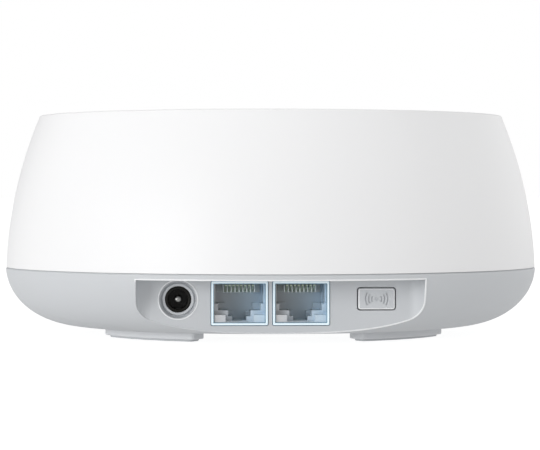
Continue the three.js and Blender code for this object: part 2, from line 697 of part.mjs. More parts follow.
function makeAntennas() {
  ANTENNA_ANGLES.forEach((angle, i) => {
    const turn = THREE.MathUtils.degToRad(angle);
    const antenna = place(`antenna_${i + 1}`, antennaSolid(), goldPlate);
    antenna.position.set(ANTENNA_R * Math.cos(turn), ANTENNA_R * Math.sin(turn), ANTENNA_Z);
    antenna.rotation.z = turn + Math.PI / 2;
    place(`antenna_cable_${i + 1}`, coaxSolid(angle), cableJacket);
  });
}

// ---- status light ----

function makeLightPipe() {
  const bottom = BOARD_TOP + SNUG + 1.4;
  const collar = RIM_Z - COVER_WALL - 2;
  const top = RIM_Z + 0.2;
  const pipe = turned([
    [0, bottom],
    [LIGHT_PIPE_R, bottom],
    [LIGHT_PIPE_R, collar],
    [LIGHT_PIPE_R + 1, collar],
    [LIGHT_PIPE_R + 1, collar + 1.2],
    [LIGHT_PIPE_R, collar + 1.2],
    [LIGHT_PIPE_R, top],
    [0, top],
  ], 14);
  place('status_light_pipe', pipe, clearPlastic, groupAt(0, LIGHT_Y, 0));
}

makeCover();
makeBase();
makeFeet();
makeLabel();
makeScrews();
makeSockets();
makeInlet();
makeButton();
makeReset();
makeBoard();
makeChips();
makeHangingParts();
makeCooling();
makeCarrier();
makeAntennas();
makeLightPipe();

export default group;
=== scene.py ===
import json
import math

import bmesh
import bpy
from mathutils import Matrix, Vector


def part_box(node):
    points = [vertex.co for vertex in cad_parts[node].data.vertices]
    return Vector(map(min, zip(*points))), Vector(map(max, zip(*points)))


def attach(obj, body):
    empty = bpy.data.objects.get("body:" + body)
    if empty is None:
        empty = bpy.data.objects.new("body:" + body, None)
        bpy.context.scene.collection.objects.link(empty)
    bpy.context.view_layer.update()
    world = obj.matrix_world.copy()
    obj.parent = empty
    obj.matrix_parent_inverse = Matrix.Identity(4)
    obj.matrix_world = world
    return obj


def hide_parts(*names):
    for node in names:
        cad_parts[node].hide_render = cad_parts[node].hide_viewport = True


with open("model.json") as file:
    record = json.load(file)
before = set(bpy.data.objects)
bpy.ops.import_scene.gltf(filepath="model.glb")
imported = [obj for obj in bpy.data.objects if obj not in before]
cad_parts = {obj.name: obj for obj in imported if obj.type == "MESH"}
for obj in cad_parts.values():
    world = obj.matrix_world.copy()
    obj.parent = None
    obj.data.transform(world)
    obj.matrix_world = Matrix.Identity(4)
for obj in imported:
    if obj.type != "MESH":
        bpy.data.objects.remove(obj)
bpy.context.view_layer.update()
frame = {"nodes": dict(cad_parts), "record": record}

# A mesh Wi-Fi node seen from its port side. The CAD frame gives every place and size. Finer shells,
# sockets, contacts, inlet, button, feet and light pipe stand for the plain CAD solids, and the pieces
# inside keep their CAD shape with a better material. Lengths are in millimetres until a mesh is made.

MM = 0.001
HOUSING = "housing"


def span(node):
    """Lowest and highest corner of a CAD node, in millimetres."""
    low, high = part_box(node)
    return low / MM, high / MM


def middle(node):
    low, high = span(node)
    return (low + high) / 2


# ---- sizes: places from the frame, and the shape of what the CAD facets stand for ----

cover_low, cover_high = span("upper_shell")
base_low, base_high = span("base_shell")
rim_low, rim_high = span("rj45_face_rim_1")
pad_high = span("foot_pad_1")[1]

BODY_R = base_high.x
COVER_BOTTOM = cover_low.z
SEAM_DROP = 0.15              # the finer shells meet a little lower than the CAD ones
BASE_TOP = COVER_BOTTOM - 0.3 - SEAM_DROP
WAIST_Z = COVER_BOTTOM + 0.2  # the base's side would stand upright here
CROWN = 0.8
RIM_Z = cover_high.z - CROWN
COVER_R = BODY_R - 0.15
COVER_WALL = 2.2
COVER_LEAN = 0.035            # the cover's side leans in by LEAN * h + SWEEP * h * h
COVER_SWEEP = 0.0045
RIM_RADIUS = 0.8
LIGHT_R = 1.5
COLLAR_LIP = 0.8              # how far the light pipe's collar reaches past its hole
LIGHT_CROWN_R = 64.5          # sets how far the crown has dropped at the light

FLOOR_Z = 2.6
FOOT_BOSS_Z = base_low.z
BOWL_CENTRE_R = 54.7
BASE_WALL = 1.6
TONGUE_R = 72.3
TONGUE_WALL = 1.5
TONGUE_TOP = base_high.z
LEDGE_R = 74.6

PANEL_Y = rim_low.y + 0.3
PANEL_WALL = 2
RECESS_HALF = 37.5
RECESS_ROOF_Z = 17.25
RECESS_COVE = 4
BEAD_R = 0.23                 # the raised bead round the recess's mouth
BEAD_SET = 0.1                # how far its middle lies behind both faces

SOCKETS = ["1", "2"]
PORT_W = rim_high.x - rim_low.x
PORT_H = rim_high.z - rim_low.z
PORT_GAP = 0.11               # room round a socket's rim
CONTACT_PITCH = 1.02
CONTACTS = 8

INLET_RING_R = 5.13
INLET_STEP_R = 3.42           # the hole at the bottom of the inlet's opening

CAP_WIDTH, CAP_HEIGHT, CAP_CORNER = 9.6, 5.5, 0.6
SLOT_WIDTH, SLOT_HEIGHT, SLOT_CORNER = 10.15, 6.05, 0.75
MARK_STROKE = 0.34            # the engraved mark on the button
MARK_RADII = [1.3, 2.1, 2.9]
MARK_HALF_ANGLE = 34

VENTS = 20
VENT_MIDDLE_R = 33.5          # each vent is a radial slot with round ends
VENT_HALF_LENGTH = 3.5
VENT_HALF_WIDTH = 1
FOOT_R = 48
FOOT_WIDTH = 7
FOOT_ANGLES = [-135.5, -44.5, 44.5, 135.5]
FOOT_HALF_SPAN = 19.9
FOOT_EDGE = 0.35              # radius of the rounded edges of a foot and its pad
PAD_INSET = 1
FAR = 30                      # how far a cutting tool runs past what it cuts
TOOL_FRONT = PANEL_Y - 4      # where tools that cut the panel start and end
TOOL_BACK = PANEL_Y + 6

inlet = middle("dc_jack_pin")
button = middle("pairing_button")
button_low, button_high = span("pairing_button")
light = middle("status_light_pipe")


# ---- materials ----


def node_material(name):
    material = bpy.data.materials.new(name)
    material.use_nodes = True
    nodes = material.node_tree.nodes
    return material, nodes, material.node_tree.links, nodes["Principled BSDF"]


def texture(nodes, links, kind, size, **settings):
    """A procedural texture in the row frame's own coordinates, with features of about size mm."""
    place = nodes.new("ShaderNodeTexCoord")
    made = nodes.new(kind)
    made.inputs["Scale"].default_value = 1 / (size * MM)
    for key, value in settings.items():
        made.inputs[key.replace("_", " ").capitalize()].default_value = value
    links.new(place.outputs["Object"], made.inputs["Vector"])
    return made


def ramp(nodes, links, source, low, high):
    """Maps a 0 to 1 value to the range low to high."""
    made = nodes.new("ShaderNodeMapRange")
    made.inputs["To Min"].default_value = low
    made.inputs["To Max"].default_value = high
    links.new(source, made.inputs["Value"])
    return made.outputs["Result"]


def tint(nodes, links, factor, first, second):
    made = nodes.new("ShaderNodeMix")
    made.data_type = "RGBA"
    made.inputs["A"].default_value = (*first, 1)
    made.inputs["B"].default_value = (*second, 1)
    links.new(factor, made.inputs["Factor"])
    return made.outputs["Result"]


def bump(nodes, links, shader, height, depth):
    made = nodes.new("ShaderNodeBump")
    made.inputs["Distance"].default_value = depth * MM
    links.new(height, made.inputs["Height"])
    links.new(made.outputs["Normal"], shader.inputs["Normal"])


def moulded(name, color, roughness, grain=0.35, depth=0.006, mottle=0.02, specular=0.4):
    """Injection-moulded plastic: a fine spark-eroded grain and a faint flow variation."""
    material, nodes, links, shader = node_material(name)
    shader.inputs["Specular IOR Level"].default_value = specular
    flow = texture(nodes, links, "ShaderNodeTexNoise", 28, detail=2)
    darker = tuple(c * (1 - mottle) for c in color)
    links.new(tint(nodes, links, flow.outputs["Fac"], darker, color), shader.inputs["Base Color"])
    fine = texture(nodes, links, "ShaderNodeTexNoise", grain, detail=3, roughness=0.6)
    spread = ramp(nodes, links, fine.outputs["Fac"], roughness - 0.05, roughness + 0.05)
    links.new(spread, shader.inputs["Roughness"])
    bump(nodes, links, shader, fine.outputs["Fac"], depth)
    return material


def socket_grey_painted_glow(name, left, right):
    """The sockets' plastic: warm grey on their left, turning to blue grey, a painted glow, on their right.
    """
    material = moulded(name, right, 0.4, grain=0.25)
    nodes, links = material.node_tree.nodes, material.node_tree.links
    place = nodes.new("ShaderNodeTexCoord")
    axes = nodes.new("ShaderNodeSeparateXYZ")
    links.new(place.outputs["Generated"], axes.inputs["Vector"])
    colour = tint(nodes, links, axes.outputs["X"], left, right)
    links.new(colour, nodes["Principled BSDF"].inputs["Base Color"])
    return material


def painted_highlight(name, plain, pale):
    """The bead round the recess: paler along its top and +X side as a painted highlight, plain elsewhere.
    """
    material = moulded(name, pale, 0.45, specular=0.3)
    nodes, links = material.node_tree.nodes, material.node_tree.links
    place = nodes.new("ShaderNodeTexCoord")
    axes = nodes.new("ShaderNodeSeparateXYZ")
    links.new(place.outputs["Object"], axes.inputs["Vector"])
    shares = []
    for axis, start, end in (("X", -30, 22), ("Z", RECESS_ROOF_Z - 0.8, RECESS_ROOF_Z - 0.3)):
        share = nodes.new("ShaderNodeMapRange")
        share.inputs["From Min"].default_value = start * MM
        share.inputs["From Max"].default_value = end * MM
        links.new(axes.outputs[axis], share.inputs["Value"])
        shares.append(share.outputs["Result"])
    either = nodes.new("ShaderNodeMath")
    either.operation = "MAXIMUM"
    links.new(shares[0], either.inputs[0])
    links.new(shares[1], either.inputs[1])
    colour = tint(nodes, links, either.outputs["Value"], plain, pale)
    links.new(colour, nodes["Principled BSDF"].inputs["Base Color"])
    return material


def lit_rim(name, color):
    """The sockets' rims, with a faint glow."""
    material = moulded(name, color, 0.3, grain=0.25, depth=0.002)
    shader = material.node_tree.nodes["Principled BSDF"]
    shader.inputs["Emission Color"].default_value = (0.75, 0.87, 1, 1)
    shader.inputs["Emission Strength"].default_value = 0.16
    return material


def metal(name, color, roughness, grain=0.6, depth=0.004):
    """Sheet or turned metal, with a slight variation in colour and polish."""
    material, nodes, links, shader = node_material(name)
    shader.inputs["Metallic"].default_value = 1
    fine = texture(nodes, links, "ShaderNodeTexNoise", grain, detail=4, roughness=0.7)
    darker = tuple(c * 0.85 for c in color)
    links.new(tint(nodes, links, fine.outputs["Fac"], darker, color), shader.inputs["Base Color"])
    spread = ramp(nodes, links, fine.outputs["Fac"], roughness - 0.08, roughness + 0.1)
    links.new(spread, shader.inputs["Roughness"])
    bump(nodes, links, shader, fine.outputs["Fac"], depth)
    return material


def solder_mask(name, mask, trace):
    """A circuit board's green lacquer over raised copper tracks."""
    material, nodes, links, shader = node_material(name)
    shader.inputs["Roughness"].default_value = 0.3
    cells = texture(nodes, links, "ShaderNodeTexVoronoi", 4)
    cells.distance = "CHEBYCHEV"
    rings = nodes.new("ShaderNodeMath")
    rings.operation = "PINGPONG"
    rings.inputs[1].default_value = 0.08
    links.new(cells.outputs["Distance"], rings.inputs[0])
    lines = nodes.new("ShaderNodeMath")
    lines.operation = "GREATER_THAN"
    lines.inputs[1].default_value = 0.045
    links.new(rings.outputs["Value"], lines.inputs[0])
    colour = tint(nodes, links, lines.outputs["Value"], mask, trace)
    links.new(colour, shader.inputs["Base Color"])
    bump(nodes, links, shader, lines.outputs["Value"], 0.03)
    return material


def frosted(name, color):
    """A light guide: cloudy clear plastic."""
    material, nodes, links, shader = node_material(name)
    shader.inputs["Subsurface Weight"].default_value = 0.4
    shader.inputs["Subsurface Scale"].default_value = 2 * MM
    cloud = texture(nodes, links, "ShaderNodeTexNoise", 1.2, detail=3)
    faint = tuple(c * 0.94 for c in color)
    links.new(tint(nodes, links, cloud.outputs["Fac"], faint, color), shader.inputs["Base Color"])
    links.new(ramp(nodes, links, cloud.outputs["Fac"], 0.2, 0.34), shader.inputs["Roughness"])
    return material


MATERIALS = {
    "white_shell": moulded("white_shell", (0.88, 0.88, 0.885), 0.42, mottle=0.01, specular=0.3),
    "grey_shell": moulded("grey_shell", (0.604, 0.622, 0.642), 0.45, specular=0.3),
    "foot_rubber": moulded("foot_rubber", (0.5, 0.52, 0.54), 0.8, grain=0.5, depth=0.02),
    # The socket plastic carries a painted bluish glow towards each socket's right.
    "socket_plastic": socket_grey_painted_glow("socket_plastic", (0.64, 0.62, 0.61), (0.56, 0.72, 0.86)),
    "rim_plastic": lit_rim("rim_plastic", (0.82, 0.95, 1.0)),
    "black_plastic": moulded("black_plastic", (0.013, 0.0125, 0.011), 0.48, grain=0.25, specular=0.14),
    "chip_black": moulded("chip_black", (0.02, 0.02, 0.022), 0.5, grain=0.2, depth=0.01),
    "frame_plastic": moulded("frame_plastic", (0.7, 0.7, 0.67), 0.5),
    "cable_jacket": moulded("cable_jacket", (0.02, 0.02, 0.022), 0.5),
    "label_white": moulded("label_white", (0.72, 0.73, 0.74), 0.55, grain=0.15, depth=0.002),
    "thermal_silicone": moulded("thermal_silicone", (0.16, 0.24, 0.4), 0.7, grain=0.8, depth=0.03),
    "tin_plate": metal("tin_plate", (0.72, 0.73, 0.74), 0.3),
    "gold_plate": metal("gold_plate", (0.83, 0.62, 0.25), 0.25, grain=0.3, depth=0.002),
    "screw_steel": metal("screw_steel", (0.38, 0.38, 0.37), 0.34, grain=0.3),
    "sink_aluminium": metal("sink_aluminium", (0.7, 0.71, 0.72), 0.35, grain=1.5),
    "board_green": solder_mask("board_green", (0.015, 0.11, 0.05), (0.03, 0.19, 0.08)),
    "clear_plastic": frosted("clear_plastic", (0.85, 0.87, 0.88)),
}
# The bead's pale colour along its top and +X side is a painted highlight.
BEAD_PAINTED_HIGHLIGHT = painted_highlight("bead_painted_highlight", (0.604, 0.622, 0.642), (0.86, 0.87, 0.88))
# A pale copy of the base grey: a painted highlight on the button's bevel and the inlet's raised ring.
EDGE_PAINTED_HIGHLIGHT = moulded("edge_painted_highlight", (0.86, 0.87, 0.88), 0.45, specular=0.3)
# A lighter copy of the base grey for the foot bosses: painted light in place of light bounced up under the
# base.
FOOT_PAINTED_LIGHT = moulded("foot_painted_light", (0.675, 0.69, 0.71), 0.5, specular=0.3)
# The base's slots: its grey, the bead's painted highlight, the feet's painted light, the raised edges'
# painted highlight.
SHELL_MATERIALS = [MATERIALS["grey_shell"], BEAD_PAINTED_HIGHLIGHT, FOOT_PAINTED_LIGHT, EDGE_PAINTED_HIGHLIGHT]
BEAD, BOSS, RING = 1, 2, 3    # places in that list
# A darker blue for the rims' slopes: a painted halo round the rims' painted glow.
RIM_PAINTED_HALO = moulded("rim_painted_halo", (0.27, 0.42, 0.52), 0.35, grain=0.25, depth=0.002)
CONTACT_GOLD = metal("contact_gold", (0.72, 0.79, 0.62), 0.5, grain=0.3, depth=0.002)
# A pale green grey for the contact carrier: partly its plastic, partly painted light lifting the shade deep
# in the socket.
CONTACT_COMB_PAINTED_LIGHT = moulded("contact_comb_painted_light", (0.78, 0.83, 0.83), 0.45, grain=0.25)
# A lighter black inside the inlet's bore: painted light that lifts the shade in the hole.
INLET_PAINTED_LIGHT = moulded("inlet_painted_light", (0.05, 0.048, 0.045), 0.5, grain=0.25)
# A near-black metal for the inlet's spring: painted shade, so it sits dark in the hole.
SPRING_PAINTED_SHADE = metal("spring_painted_shade", (0.1, 0.1, 0.1), 0.5)


def paint_frame():
    """Gives every CAD node its slot's procedural material."""
    for part in frame["record"]["subparts"]:
        data = frame["nodes"][part["node"]].data
        data.materials.clear()
        data.materials.append(MATERIALS[part["material_slot"]])
    # The inlet's spring is painted dark, as painted shade.
    frame["nodes"]["dc_jack_spring"].data.materials[0] = SPRING_PAINTED_SHADE


# ---- mesh helpers ----


def mesh_piece(name, points, faces):
    data = bpy.data.meshes.new(name)
    data.from_pydata([Vector(p) * MM for p in points], [], faces)
    made = bpy.data.objects.new(name, data)
    bpy.context.scene.collection.objects.link(made)
    work = bmesh.new()
    work.from_mesh(data)
    bmesh.ops.recalc_face_normals(work, faces=work.faces)
    work.to_mesh(data)
    work.free()
    return made


def stack(name, rings):
    """A closed solid through rings of points, capped at both ends."""
    count = len(rings[0])
    points = [p for ring in rings for p in ring]
    faces = []
    for level in range(len(rings) - 1):
        for i in range(count):
            j = (i + 1) % count
            a, b = level * count, (level + 1) * count
            faces.append((a + i, a + j, b + j, b + i))
    faces.append(tuple(range(count - 1, -1, -1)))
    last = (len(rings) - 1) * count
    faces.append(tuple(range(last, last + count)))
    return mesh_piece(name, points, faces)


def turned(name, profile, sides, centre=(0, 0), along="Z"):
    """A profile of (radius, height) points turned about an axis. It ends on the axis or closes."""
    closed = profile[0] == profile[-1]
    rows = profile[:-1] if closed else profile
    points, starts = [], []
    for radius, height in rows:
        starts.append(len(points))
        for i in range(sides if radius > 0 else 1):
            turn = 2 * math.pi * i / sides
            across, up = radius * math.sin(turn), radius * math.cos(turn)
            if along == "Z":
                points.append((centre[0] + across, centre[1] + up, height))
            else:
                points.append((centre[0] + across, height, centre[1] + up))
    faces = []
    for row in range(len(rows) if closed else len(rows) - 1):
        a, b = row, (row + 1) % len(rows)
        for i in range(sides):
            j = (i + 1) % sides
            corners = []
            for level, side in ((a, i), (a, j), (b, j), (b, i)):
                corner = starts[level] + (side if rows[level][0] > 0 else 0)
                if corner not in corners:
                    corners.append(corner)
            faces.append(tuple(corners))
    return mesh_piece(name, points, faces)


def arc(centre, radius, start, end, steps):
    """Points on an arc in a plane, by degrees."""
    made = []
    for i in range(steps + 1):
        turn = math.radians(start + (end - start) * i / steps)
        made.append((centre[0] + radius * math.cos(turn), centre[1] + radius * math.sin(turn)))
    return made


def rounded(width, height, radius, steps=6):
    w, h = width / 2 - radius, height / 2 - radius
    return (
        arc((w, h), radius, 0, 90, steps)
        + arc((-w, h), radius, 90, 180, steps)
        + arc((-w, -h), radius, 180, 270, steps)
        + arc((w, -h), radius, 270, 360, steps)
    )


def facing(outline, y, x=0, z=0):
    """An outline as seen from the port side, at depth y."""
    return [(x + u, y, z + v) for u, v in outline]


def flat(outline, z):
    return [(x, y, z) for x, y in outline]


def prism(name, outline, y0, y1, x=0, z=0):
    return stack(name, [facing(outline, y0, x, z), facing(outline, y1, x, z)])


def combine(target, tool, operation):
    step = target.modifiers.new(operation, "BOOLEAN")
    step.operation = operation
    step.solver = "EXACT"
    step.object = tool
    bake(target)
    bpy.data.objects.remove(tool)


def cut(target, *tools):
    for tool in tools:
        combine(target, tool, "DIFFERENCE")


def join(target, *others):
    for other in others:
        combine(target, other, "UNION")


def bake(piece):
    """Applies the modifiers."""
    graph = bpy.context.evaluated_depsgraph_get()
    data = bpy.data.meshes.new_from_object(piece.evaluated_get(graph))
    piece.modifiers.clear()
    piece.data = data


def soften(piece, sharp=38):
    """Smooth shading, with creases only at edges of more than sharp degrees."""
    work = bmesh.new()
    work.from_mesh(piece.data)
    bmesh.ops.remove_doubles(work, verts=work.verts, dist=0.002 * MM)
    bmesh.ops.dissolve_degenerate(work, edges=work.edges, dist=0.0005 * MM)
    work.to_mesh(piece.data)
    work.free()
    piece.data.shade_smooth()
    piece.data.set_sharp_from_angle(angle=math.radians(sharp))
    weights = piece.modifiers.new("weights", "WEIGHTED_NORMAL")
    weights.keep_sharp = True
    bake(piece)


def bevel(piece, width, segments=2):
    step = piece.modifiers.new("bevel", "BEVEL")
    step.width = width * MM
    step.segments = segments
    step.limit_method = "ANGLE"
    step.angle_limit = math.radians(30)
    bake(piece)


def use_materials(piece, materials, index=0):
    for material in materials:
        piece.data.materials.append(material)
    for face in piece.data.polygons:
        face.material_index = index


def finished(piece, slot, node, body=HOUSING, painted=False):
    """Paints a piece that isn't painted yet, and lets it stand for its CAD node on that body."""
    if not painted:
        piece.data.materials.clear()
        piece.data.materials.append(MATERIALS[slot])
    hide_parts(node)
    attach(piece, body)


# ---- cover ----


def cover_radius(z):
    h = z - WAIST_Z
    return COVER_R - COVER_LEAN * h - COVER_SWEEP * h * h


def make_cover():
    edge = 0.15
    sides = 320
    bottom, top = COVER_BOTTOM - SEAM_DROP, RIM_Z
    rim_r = cover_radius(top - RIM_RADIUS) - RIM_RADIUS
    outside = [(cover_radius(bottom + edge) - edge * (1 - math.cos(t)), bottom + edge - edge * math.sin(t))
               for t in [math.radians(a) for a in (90, 60, 30, 0)]]
    steps = 30
    for i in range(1, steps + 1):
        z = bottom + edge + (top - RIM_RADIUS - bottom - edge) * i / steps
        outside.append((cover_radius(z), z))
    outside += arc((rim_r, top - RIM_RADIUS), RIM_RADIUS, 18, 88, 7)
    crown = []
    for i in range(12, 0, -1):
        r = (rim_r - 0.3) * i / 12
        crown.append((r, top + CROWN * (1 - (r / rim_r) ** 2)))
    inside = [(0, top + CROWN - COVER_WALL), (20, top + CROWN - COVER_WALL - 0.05), (55, top - COVER_WALL)]
    for i in range(10, -1, -1):
        z = bottom + (top - COVER_WALL - bottom) * i / 10
        inside.append((cover_radius(z) - COVER_WALL, z))
    profile = inside + outside + crown + [(0, top + CROWN)]
    cover = turned("cover", profile, sides)
    hole = span("status_light_pipe")[1].x - COLLAR_LIP
    flare = hole + 0.45
    well = turned("well", [
        (0, top - 6), (hole, top - 6), (hole, top + 0.02),
        (flare, top + 0.6), (flare, top + 6), (0, top + 6),
    ], 48, (light.x, light.y))
    cut(cover, well)
    soften(cover)
    finished(cover, "white_shell", "upper_shell")


# ---- base ----


def bowl_point(turn, wall=0):
    """The side's quarter ellipse, from the floor (0 degrees) to the waist (90 degrees)."""
    reach, drop = BODY_R - BOWL_CENTRE_R - wall, WAIST_Z - FLOOR_Z - wall
    angle = math.radians(turn)
    return BOWL_CENTRE_R + reach * math.sin(angle), WAIST_Z - drop * math.cos(angle)


def bowl_height(radius):
    """Height of the side's outer surface at a radius."""
    share = max(radius - BOWL_CENTRE_R, 0) / (BODY_R - BOWL_CENTRE_R)
    return WAIST_Z - (WAIST_Z - FLOOR_Z) * math.sqrt(1 - share * share)


def bowl_radius(z):
    share = (WAIST_Z - z) / (WAIST_Z - FLOOR_Z)
    return BOWL_CENTRE_R + (BODY_R - BOWL_CENTRE_R) * math.sqrt(1 - share * share)


def bowl_normal(x, y):
    """Outward normal of the side's outer surface over a point in plan."""
    radius = math.hypot(x, y)
    out = max(radius - BOWL_CENTRE_R, 0) / (BODY_R - BOWL_CENTRE_R) ** 2
    up = (bowl_height(radius) - WAIST_Z) / (WAIST_Z - FLOOR_Z) ** 2
    return Vector((out * x / radius, out * y / radius, up)).normalized()


def recess_outline(grow=0):
    """The recess in plan, grown by the thickness of its walls, open towards -Y."""
    half, back, cove = RECESS_HALF + grow, PANEL_Y + grow, RECESS_COVE + grow
    return (
        [(-half, -BODY_R - FAR)]
        + arc((cove - half, back - cove), cove, 180, 90, 14)
        + arc((half - cove, back - cove), cove, 90, 0, 14)
        + [(half, -BODY_R - FAR)]
    )


def mouth_path():
    """The edge of the recess's mouth, once round: points in space, and the way into the recess there."""
    half, back, cove = RECESS_HALF, PANEL_Y, RECESS_COVE
    lip_r = bowl_radius(RECESS_ROOF_Z)
    top = -math.sqrt(lip_r ** 2 - half ** 2)
    down, right = Vector((0, 0, -1)), Vector((1, 0, 0))
    plan = [((-half, top), right + down)]
    plan += [((-half, top + (back - cove - top) * i / 10), right) for i in range(1, 10)]
    for x, y in arc((cove - half, back - cove), cove, 180, 90, 16):
        plan.append(((x, y), Vector((cove - half - x, back - cove - y, 0)).normalized()))
    plan += [((x, back), Vector((0, -1, 0))) for x in (cove - half + 1.5 * i for i in range(1, 22))]
    plan += [((-x, y), Vector((-into.x, into.y, into.z))) for (x, y), into in reversed(plan)]
    sweep = math.asin(half / lip_r)
    for i in range(1, 90):
        turn = sweep * (1 - 2 * i / 90)
        plan.append(((lip_r * math.sin(turn), -lip_r * math.cos(turn)), down))
    return [(Vector((x, y, bowl_height(math.hypot(x, y)))), into) for (x, y), into in plan]


def mouth_bead():
    """The raised bead round the recess's mouth."""
    path = mouth_path()
    centres = [edge - BEAD_SET * (into + bowl_normal(edge.x, edge.y)) for edge, into in path]
    sides, count = 12, len(path)
    points, faces = [], []
    for i, centre in enumerate(centres):
        along = (centres[(i + 1) % count] - centres[i - 1]).normalized()
        out = bowl_normal(centre.x, centre.y)
        first = (out - along * out.dot(along)).normalized()
        second = along.cross(first)
        for k in range(sides):
            turn = 2 * math.pi * (k + 0.5) / sides
            points.append(centre + BEAD_R * (first * math.cos(turn) + second * math.sin(turn)))
            j, m = (i + 1) % count, (k + 1) % sides
            faces.append((i * sides + k, j * sides + k, j * sides + m, i * sides + m))
    bead = mesh_piece("bead", points, faces)
    use_materials(bead, SHELL_MATERIALS, BEAD)
    return bead


def button_slot():
    """The tool for the button's opening, whose outer edge is rounded."""
    radius = 0.12

    def outline(grow):
        return rounded(SLOT_WIDTH + 2 * grow, SLOT_HEIGHT + 2 * grow, SLOT_CORNER + grow)

    rings = [facing(outline(0), TOOL_BACK, button.x, button.z)]
    for turn in (0, 22, 45, 68, 90):
        t = math.radians(turn)
        y = PANEL_Y + radius * (1 - math.sin(t))
        rings.append(facing(outline(radius * (1 - math.cos(t))), y, button.x, button.z))
    rings.append(facing(outline(radius), TOOL_FRONT, button.x, button.z))
    return stack("slot", rings)


def arc_outline(inset, centre, corner=1.2):
    """A foot's stretch of ring in plan with rounded corners, drawn inset from its full size."""
    steps = 26
    half_w = FOOT_WIDTH / 2 - inset
    half_l = math.radians(FOOT_HALF_SPAN) * FOOT_R - inset
    corner = max(corner - inset, 0.15)
    outline = []
    for u, v in (
        arc((half_l - corner, half_w - corner), corner, 0, 90, 5)
        + [(half_l - corner - 2 * (half_l - corner) * i / steps, half_w) for i in range(1, steps)]
        + arc((corner - half_l, half_w - corner), corner, 90, 180, 5)
        + arc((corner - half_l, corner - half_w), corner, 180, 270, 5)
        + [(corner - half_l + 2 * (half_l - corner) * i / steps, -half_w) for i in range(1, steps)]
        + arc((half_l - corner, corner - half_w), corner, 270, 360, 5)
    ):
        turn = math.radians(centre) + u / FOOT_R
        outline.append(((FOOT_R + v) * math.cos(turn), (FOOT_R + v) * math.sin(turn)))
    return outline


def foot_boss(angle):
    """The moulded foot, which runs a little way into the floor."""
    rings = [flat(arc_outline(0, angle), FLOOR_Z + 0.9)]
    for turn in (0, 30, 60, 90):
        t = math.radians(turn)
        z = FOOT_BOSS_Z + FOOT_EDGE * (1 - math.sin(t))
        rings.append(flat(arc_outline(FOOT_EDGE * (1 - math.cos(t)), angle), z))
    boss = stack("boss", rings)
    # The boss is painted the lighter grey, as painted light.
    use_materials(boss, SHELL_MATERIALS, BOSS)
    return boss


def pad_outline(angle, inset):
    return arc_outline(PAD_INSET + inset, angle, corner=2.2)


def vent_slot(index):
    """A round-ended radial slot through the floor, a little wider at the underside."""
    turn = 2 * math.pi * (index + 0.5) / VENTS
    across, half = VENT_HALF_WIDTH, VENT_HALF_LENGTH - VENT_HALF_WIDTH
    outline = arc((half, 0), across, -90, 90, 6) + arc((-half, 0), across, 90, 270, 6)
    rings = []
    for grow, height in ((0.3, -1), (0.3, 0), (0.1, 0.12), (0, 0.35), (0, 3)):
        ring = []
        for u, v in outline:
            radius = VENT_MIDDLE_R + u * (1 + grow / VENT_HALF_LENGTH)
            side = v * (1 + grow)
            x = radius * math.cos(turn) - side * math.sin(turn)
            y = radius * math.sin(turn) + side * math.cos(turn)
            ring.append((x, y, FLOOR_Z + height))
        rings.append(ring)
    return stack("slot", rings)


def make_base():
    edge = 0.22
    sides = 288
    outer = [(0, FLOOR_Z), (26, FLOOR_Z), (40, FLOOR_Z), (50, FLOOR_Z), (53.5, FLOOR_Z)]
    outer += [bowl_point(90 * i / 40) for i in range(39)]
    outer += arc((BODY_R - edge, BASE_TOP - edge), edge, 0, 90, 4)
    ledge = COVER_BOTTOM - SEAM_DROP - 0.08
    outer += [(LEDGE_R, BASE_TOP), (LEDGE_R, ledge)]
    outer += [(TONGUE_R, ledge), (TONGUE_R, TONGUE_TOP), (0, TONGUE_TOP)]
    base = turned("base", outer, sides)
    use_materials(base, SHELL_MATERIALS)
    inner = TONGUE_R - TONGUE_WALL
    hollow = [(0, FLOOR_Z + BASE_WALL)]
    hollow += [bowl_point(90 * i / 16, BASE_WALL) for i in range(14)]
    hollow += [(inner, BASE_TOP - 0.9), (inner, FAR), (0, FAR)]
    cavity = turned("cavity", hollow, 144)
    keep = recess_outline(PANEL_WALL)
    cut(cavity, stack("keep", [flat(keep, -5), flat(keep, BASE_TOP)]))
    cut(base, cavity)
    recess = recess_outline()
    cut(base, stack("recess", [flat(recess, -FAR), flat(recess, RECESS_ROOF_Z)]))
    join(base, mouth_bead())
    for number in SOCKETS:
        port = middle(f"rj45_face_rim_{number}")
        opening = rounded(PORT_W + 2 * PORT_GAP, PORT_H + 2 * PORT_GAP, 0.48)
        cut(base, prism("opening", opening, TOOL_FRONT, TOOL_BACK, port.x, port.z))
    cut(base, button_slot())
    join(base, inlet_ring())
    cut(base, inlet_tool())
    for angle in FOOT_ANGLES:
        join(base, foot_boss(angle))
    for angle in FOOT_ANGLES:
        pocket = pad_outline(angle, -0.1)
        cut(base, stack("pocket", [flat(pocket, -3), flat(pocket, pad_high.z + 0.1)]))
    for index in range(VENTS):
        cut(base, vent_slot(index))
    label_low, label_high = span("rating_label")
    seat = rounded(label_high.x - label_low.x + 0.4, label_high.y - label_low.y + 0.4, 2)
    cut(base, stack("seat", [flat(seat, -3), flat(seat, label_high.z + 0.05)]))
    reset = middle("reset_plunger")
    cut(base, turned("pinhole", [
        (0, 0), (1.5, 0), (1.5, FLOOR_Z - 0.01), (1, FLOOR_Z + 0.5), (1, FLOOR_Z + 4), (0, FLOOR_Z + 4),
    ], 32, (reset.x, reset.y)))
    soften(base)
    finished(base, "grey_shell", "base_shell", painted=True)


